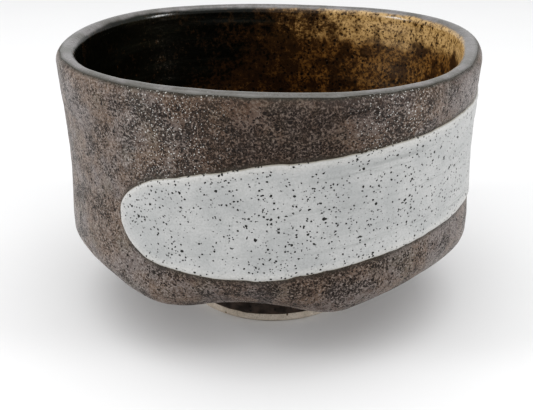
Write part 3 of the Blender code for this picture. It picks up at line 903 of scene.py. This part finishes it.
def build_foot():
    """The bare clay ring and the dark glaze on its wall, whose darkness is partly painted shade, with a wavy
    line between them.
    """
    line = BARE_HEIGHT + 0.25 * wander(ROUND, 14, 61) + 0.12 * wander(ROUND, 60, 62)
    profile = [(FOOT_INNER + 1.5, 0.12), (FOOT_INNER + 2.6, 0.0), (FOOT_RADIUS - 1.6, 0.0),
               (FOOT_RADIUS - 0.8, 0.10), (FOOT_RADIUS - 0.25, 0.42), (FOOT_RADIUS - 0.04, 1.0)]
    rows_r = [r + 0 * ROUND for r, _ in profile]
    rows_z = [z + 0 * ROUND for _, z in profile]
    for share in (0.3, 0.65, 1.0):
        rows_r.append(FOOT_RADIUS - 0.04 - 0.05 * share + 0 * ROUND)
        rows_z.append(1.0 + (line - 1.0) * share)
    for r, z in ((FOOT_RADIUS - 0.5, 0.5), (FOOT_RADIUS - 0.7, 1.2), (FOOT_RADIUS - 0.7, 3.0)):
        rows_r.append(r + 0 * ROUND)
        rows_z.append(line + z)
    top = SEAT_HEIGHT - GAP
    for r, z in ((FOOT_RADIUS - COAT, top), (FOOT_INNER, top), (FOOT_INNER, 4.5), (FOOT_INNER - 0.02, 3.0),
                 (FOOT_INNER + 0.05, 1.6), (FOOT_INNER + 0.35, 0.7), (FOOT_INNER + 0.9, 0.28)):
        rows_r.append(r + 0 * ROUND)
        rows_z.append(z + 0 * ROUND)
    r, z = np.array(rows_r), np.array(rows_z)
    angle = np.broadcast_to(ROUND, r.shape)
    outside = smooth((3.0 - z) / 1.0) * smooth(z / 0.8)
    r = r + 0.08 * outside * (lumps(angle, z, 26, 3.0, 63) + lumps(angle, z, 90, 0.9, 64)) * 0.5
    points, faces = shell(r[::-1], z[::-1], ROUND)
    piece("foot_ring_clay", points, faces,
          clay_look("bare_clay", PALE_FOOT, DARK_FOOT, FOOT_TOOTH), ["foot_ring"])

    shares = np.linspace(0.0, 1.0, 24)[:, None]
    z = line * (1 - shares) + (FOOT_HEIGHT - 0.02) * shares
    angle = np.broadcast_to(ROUND, z.shape)
    over = z - line
    bulge = 0.10 * np.exp(-((over - 0.9) / 0.7) ** 2)
    r = FOOT_RADIUS - 0.42 * (1 - np.sqrt(np.clip(over / 0.8, 0, 1))) + bulge
    r = r + 0.06 * lumps(angle, z, 40, 2.2, 65) * smooth(over / 0.8) + 0.10 * smooth((z - 7.0) / 1.0)
    inner_r = np.full((2, SEGMENTS), FOOT_RADIUS - 0.62)
    inner_z = np.vstack([z[-1], z[0] + 0.35])
    all_r, all_z = np.vstack([r, inner_r]), np.vstack([z, inner_z])
    points, faces = shell(all_r[::-1], all_z[::-1], ROUND)
    piece("foot_glaze_band", points, faces, foot_glaze_and_shade_look(), ["foot_glaze"])


def build_body():
    """Clay inside the glazes; only the hollow under the foot shows, trimmed in a spiral."""
    inside_r, inside_z = inner_grid(ROUND, LIP_BASE + 0 * ROUND, (8, 8, 24))
    inside_r, inside_z = lifted(inside_r, inside_z, COAT)
    outside_r, outside_z = outer_grid(ROUND, 0 * ROUND, (1, 8, 8, 4))
    outside_r, outside_z = lifted(outside_r[1:], outside_z[1:], -COAT)
    outside_r, outside_z = outside_r[:-1], outside_z[:-1]
    turns = np.linspace(math.pi, 0.0, 9)[1:-1]
    centre, radius = lip_outline(ROUND) - WALL_THICKNESS / 2, WALL_THICKNESS / 2 - COAT
    lip_r = np.array([centre + radius * math.cos(t) for t in turns])
    lip_z = np.array([LIP_BASE + radius * math.sin(t) + 0 * ROUND for t in turns])
    boss = FOOT_INNER - GAP
    seat_r = np.array([FOOT_RADIUS - 1.0 + 0 * ROUND, boss + 0.3 + 0 * ROUND])
    seat_z = np.full(seat_r.shape, SEAT_HEIGHT)
    hollow = np.linspace(boss, 0.35, 56)[:, None] + 0 * ROUND
    angle = np.broadcast_to(ROUND, hollow.shape)
    spiral = np.sin((hollow + angle / 360.0 * RECESS_PITCH) / RECESS_PITCH * 2 * math.pi)
    depth = RECESS_DEPTH + RECESS_WAVE * spiral * smooth(hollow / 4.0) * smooth((boss - hollow) / 2.0)
    depth = depth - 1.1 * smooth(1.0 - hollow / 4.5) - 1.0 * smooth((hollow - boss + 1.6) / 1.6)
    depth = depth + 0.10 * lumps(angle, hollow, 12, 4.0, 71) * smooth(hollow / 4.0)
    r = np.vstack([inside_r[::-1], lip_r, outside_r, seat_r, hollow])
    z = np.vstack([inside_z[::-1], lip_z, outside_z, seat_z, depth])
    points, faces = shell(r, z, ROUND, closed=False, poles=(True, True))
    piece("stoneware_clay_body", points, faces,
          clay_look("stoneware_clay", PALE_CLAY, DARK_CLAY, CLAY_TOOTH), ["stoneware_body"])


build_outer_glaze()
build_lip_glaze()
build_inner_glaze()
build_amber_glaze()
build_white_stroke()
build_foot()
build_body()


# ---------------------------------------------------------------- floor, light and camera

FLOOR_SIZE = 4.0
FLOOR_TONES = rgb(0.80, 0.80, 0.805), rgb(0.82, 0.82, 0.82)
SKY, SKY_STRENGTH = rgb(0.99, 0.995, 1.0), 0.62
SOFTBOXES = (    # name, place and aim in metres, width and height in metres, power in watts
    ("top_softbox", (0.0, -0.12, 1.10), (0.0, 0.0, 0.0), 1.3, 1.3, 9.0),
    ("left_window", (-0.95, -0.25, 0.42), (0.0, 0.0, 0.04), 0.28, 0.34, 4.5),
    ("right_window", (0.95, -0.30, 0.42), (0.0, 0.0, 0.04), 0.28, 0.34, 4.0),
)
PITCH, YAW, ROLL = math.radians(23.42), math.radians(-0.33), math.radians(-0.09)
CAMERA_PLACE, SENSOR_WIDTH, LENS = (0.0, -235.0, 127.0), 36.0, 56.262664
TONE_CURVE = ((0.02, 0.006), (0.06, 0.034), (0.16, 0.135), (0.40, 0.395))


def make_floor():
    """A large pale floor that everything stands on."""
    m = Recipe("pale_floor")
    m.set(Base_Color=m.mix(m.noise(60.0, 2.0, 0.5), *FLOOR_TONES), Roughness=0.75, Specular_IOR_Level=0.2)
    mesh = bpy.data.meshes.new("studio_floor")
    corners = [(x * FLOOR_SIZE, y * FLOOR_SIZE, 0) for x, y in ((-1, -1), (1, -1), (1, 1), (-1, 1))]
    mesh.from_pydata(corners, [], [(0, 1, 2, 3)])
    mesh.materials.append(m.material)
    made = put_in_scene("studio_floor", mesh)


def make_light():
    """An even sky and three rectangular lights."""
    world = bpy.data.worlds.new("studio")
    world.use_nodes = True
    background = world.node_tree.nodes["Background"]
    background.inputs["Color"].default_value = SKY
    background.inputs["Strength"].default_value = SKY_STRENGTH
    bpy.context.scene.world = world
    for name, position, target, width, height, watts in SOFTBOXES:
        data = bpy.data.lights.new(name, "AREA")
        data.shape, data.size, data.size_y, data.energy = "RECTANGLE", width, height, watts
        made = put_in_scene(name, data)
        made.location = position
        made.rotation_euler = (Vector(target) - Vector(position)).to_track_quat("-Z", "Y").to_euler()


def make_camera():
    """A near view from the front and above."""
    forward = Vector((math.sin(YAW) * math.cos(PITCH), math.cos(YAW) * math.cos(PITCH), -math.sin(PITCH)))
    level = Vector((math.cos(YAW), -math.sin(YAW), 0.0))
    up = level.cross(forward)
    right = math.cos(ROLL) * level + math.sin(ROLL) * up
    up = -math.sin(ROLL) * level + math.cos(ROLL) * up
    data = bpy.data.cameras.new("camera")
    data.sensor_width, data.lens = SENSOR_WIDTH, LENS
    data.clip_start, data.clip_end = 0.01, 50.0
    made = put_in_scene("camera", data)
    position = (Vector(CAMERA_PLACE) - Vector((*MIDDLE, 0.0))) * MM
    made.matrix_world = Matrix((
        (right.x, up.x, -forward.x, position.x),
        (right.y, up.y, -forward.y, position.y),
        (right.z, up.z, -forward.z, position.z),
        (0.0, 0.0, 0.0, 1.0),
    ))
    bpy.context.scene.camera = made


def set_film_response():
    """The soft toe of a tone curve, which deepens the blacks."""
    settings = bpy.context.scene.view_settings
    settings.view_transform, settings.look = "Standard", "None"
    settings.use_curve_mapping = True
    for level, shown in TONE_CURVE:
        settings.curve_mapping.curves[3].points.new(level, shown)
    settings.curve_mapping.update()


make_floor()
make_light()
make_camera()
set_film_response()
